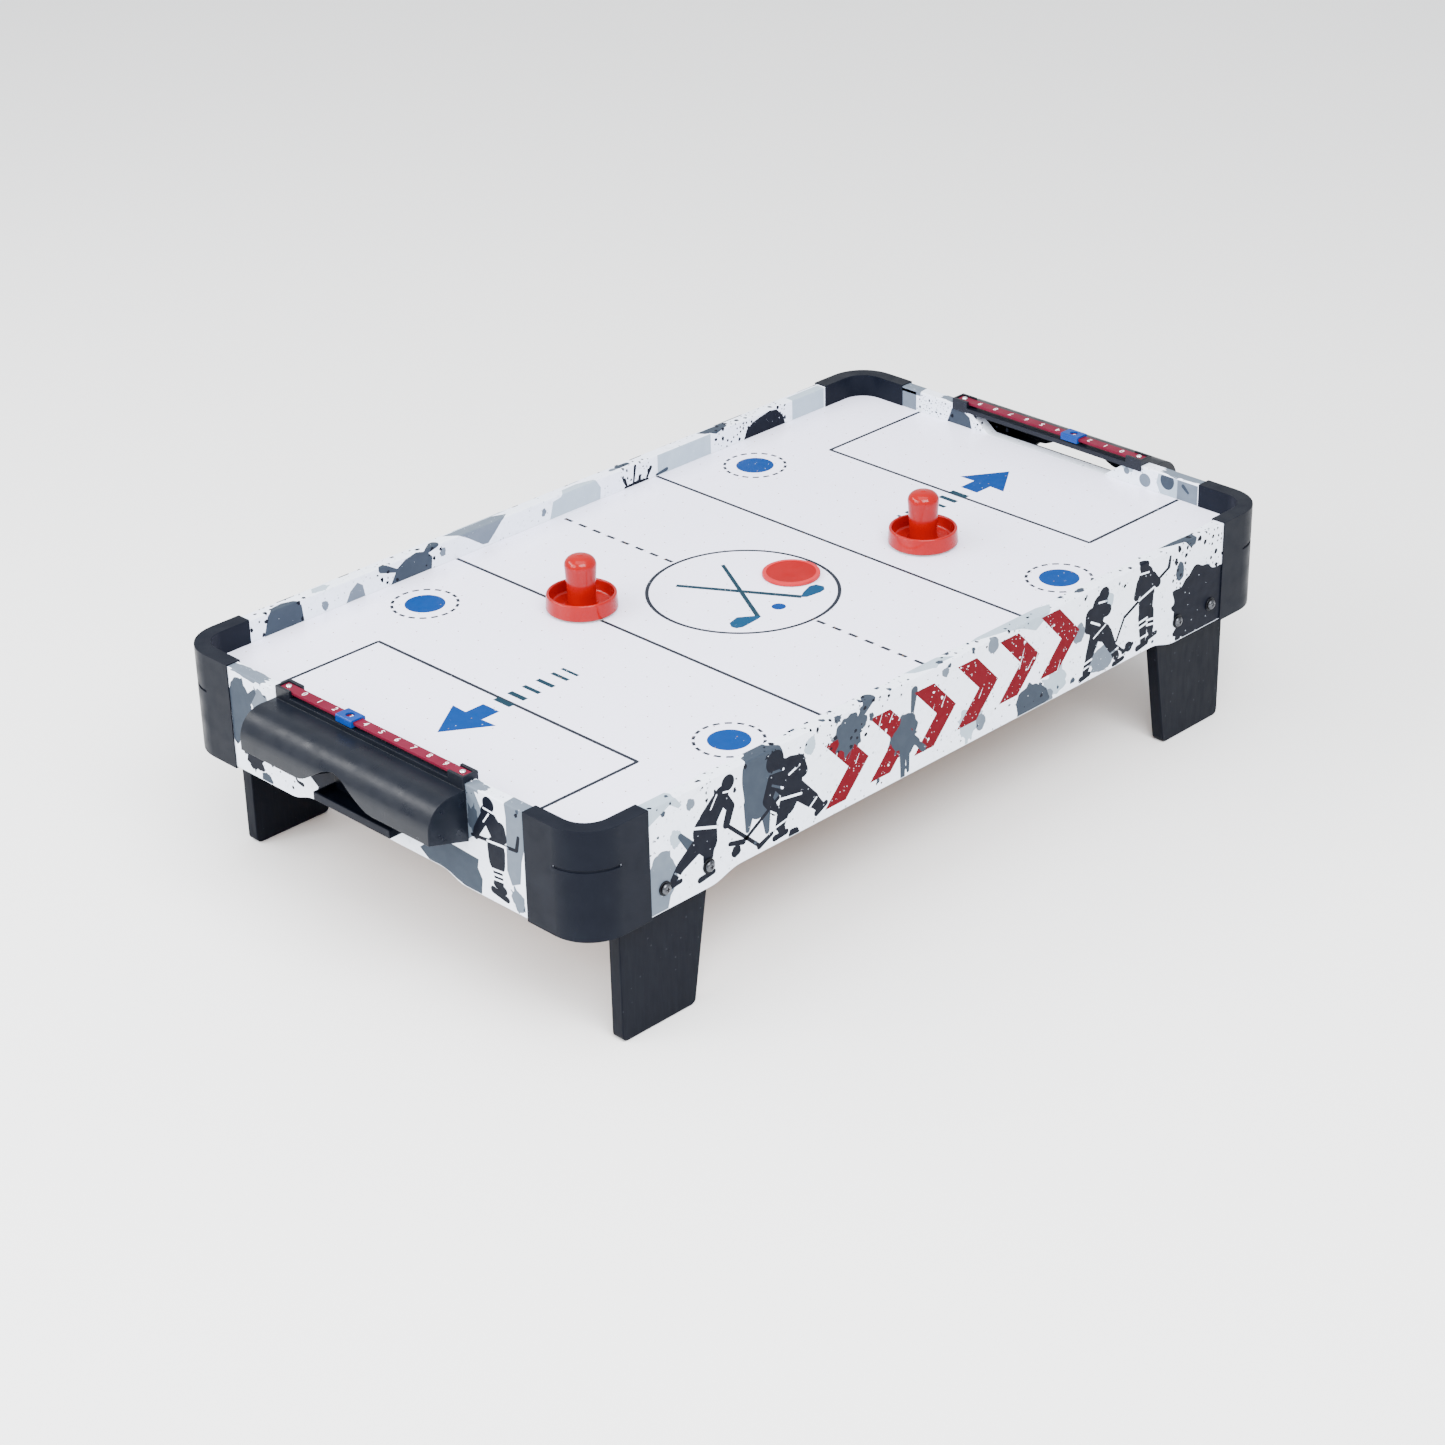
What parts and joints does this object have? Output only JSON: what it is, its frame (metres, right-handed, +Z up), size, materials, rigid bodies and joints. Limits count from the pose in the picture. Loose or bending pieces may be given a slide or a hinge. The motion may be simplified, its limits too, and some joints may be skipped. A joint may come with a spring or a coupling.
{
  "type": "air hockey table",
  "caption": "Table-top air hockey game with rounded corner caps, hooded goals, sliding score markers, a blower under the bed, four board legs, mallets and a puck.",
  "frame": {"origin": "middle of the footprint, on the surface that the legs stand on", "axes": "+X along the table towards the right-hand goal, -Y is the front long side, +Z up"},
  "size_m": [1.11, 0.6106, 0.281],
  "materials": {
    "field_board": "smooth coated board with fine air holes and printed markings",
    "printed_board": "satin laminated fibreboard printed with grey and black splatter",
    "hardboard": "raw brown hardboard",
    "pine": "planed raw pine",
    "black_plastic": "satin moulded black",
    "leg_board": "black foil-wrapped board",
    "maroon_plastic": "dark red with white numbers",
    "blue_plastic": "glossy blue",
    "red_plastic": "glossy red",
    "grey_plastic": "satin grey",
    "felt": "pressed felt",
    "chrome_screws": "bright plated",
    "black_washer": "blackened steel",
    "zinc_plate": "zinc plated"
  },
  "bodies": {
    "table": {"playfield": "field_board", "bottom_panel": "hardboard", "apron_front": "printed_board", "field_cleat_front": "pine", "apron_rear": "printed_board", "field_cleat_rear": "pine", "apron_left": "printed_board", "rib_left": "pine", "goal_housing_left": "black_plastic", "puck_tray_left": "black_plastic", "score_strip_left": "maroon_plastic", "corner_cap_front_left": "black_plastic", "leg_front_left": "leg_board", "nut_plate_front_left": "zinc_plate", "strip_screw_left_front": "chrome_screws", "leg_bolt_front_left_1": "chrome_screws", "leg_washer_front_left_1": "black_washer", "leg_bolt_front_left_2": "chrome_screws", "leg_washer_front_left_2": "black_washer", "corner_cap_rear_left": "black_plastic", "leg_rear_left": "leg_board", "nut_plate_rear_left": "zinc_plate", "strip_screw_left_rear": "chrome_screws", "leg_bolt_rear_left_1": "chrome_screws", "leg_washer_rear_left_1": "black_washer", "leg_bolt_rear_left_2": "chrome_screws", "leg_washer_rear_left_2": "black_washer", "apron_right": "printed_board", "rib_right": "pine", "goal_housing_right": "black_plastic", "puck_tray_right": "black_plastic", "score_strip_right": "maroon_plastic", "corner_cap_front_right": "black_plastic", "leg_front_right": "leg_board", "nut_plate_front_right": "zinc_plate", "strip_screw_right_front": "chrome_screws", "leg_bolt_front_right_1": "chrome_screws", "leg_washer_front_right_1": "black_washer", "leg_bolt_front_right_2": "chrome_screws", "leg_washer_front_right_2": "black_washer", "corner_cap_rear_right": "black_plastic", "leg_rear_right": "leg_board", "nut_plate_rear_right": "zinc_plate", "strip_screw_right_rear": "chrome_screws", "leg_bolt_rear_right_1": "chrome_screws", "leg_washer_rear_right_1": "black_washer", "leg_bolt_rear_right_2": "chrome_screws", "leg_washer_rear_right_2": "black_washer", "blower_housing": "black_plastic", "blower_motor": "zinc_plate", "power_jack": "black_plastic"},
    "score_slider_left": {"score_slider_left": "blue_plastic"},
    "score_slider_right": {"score_slider_right": "blue_plastic"},
    "blower_impeller": {"blower_impeller": "grey_plastic"},
    "power_switch": {"power_switch": "red_plastic"},
    "mallet_left": {"mallet_left": "red_plastic", "mallet_felt_left": "felt"},
    "mallet_right": {"mallet_right": "red_plastic", "mallet_felt_right": "felt"},
    "puck": {"puck": "red_plastic"}
  },
  "joints": [
    {"name": "score_slide_left", "type": "slide", "parent": "table", "child": "score_slider_left", "axis": [0, -1, 0], "range_m": [-0.0696, 0.1392]},
    {"name": "score_slide_right", "type": "slide", "parent": "table", "child": "score_slider_right", "axis": [0, 1, 0], "range_m": [-0.0696, 0.1392]},
    {"name": "impeller_spin", "type": "hinge", "parent": "table", "child": "blower_impeller", "pos_m": [0, 0, 0.1237], "axis": [0, 0, 1], "continuous": true},
    {"name": "power_rocker", "type": "hinge", "parent": "table", "child": "power_switch", "pos_m": [0.0765, 0, 0.1142], "axis": [0, 1, 0], "range_deg": [0, 20]},
    {"name": "mallet_push_left", "type": "slide", "parent": "table", "child": "mallet_left", "axis": [1, 0, 0], "range_m": [-0.25, 0.1]},
    {"name": "mallet_push_right", "type": "slide", "parent": "table", "child": "mallet_right", "axis": [1, 0, 0], "range_m": [-0.03, 0.2]},
    {"name": "puck_glide", "type": "slide", "parent": "table", "child": "puck", "axis": [1, 0, 0], "range_m": [-0.42, 0.05]}
  ]
}
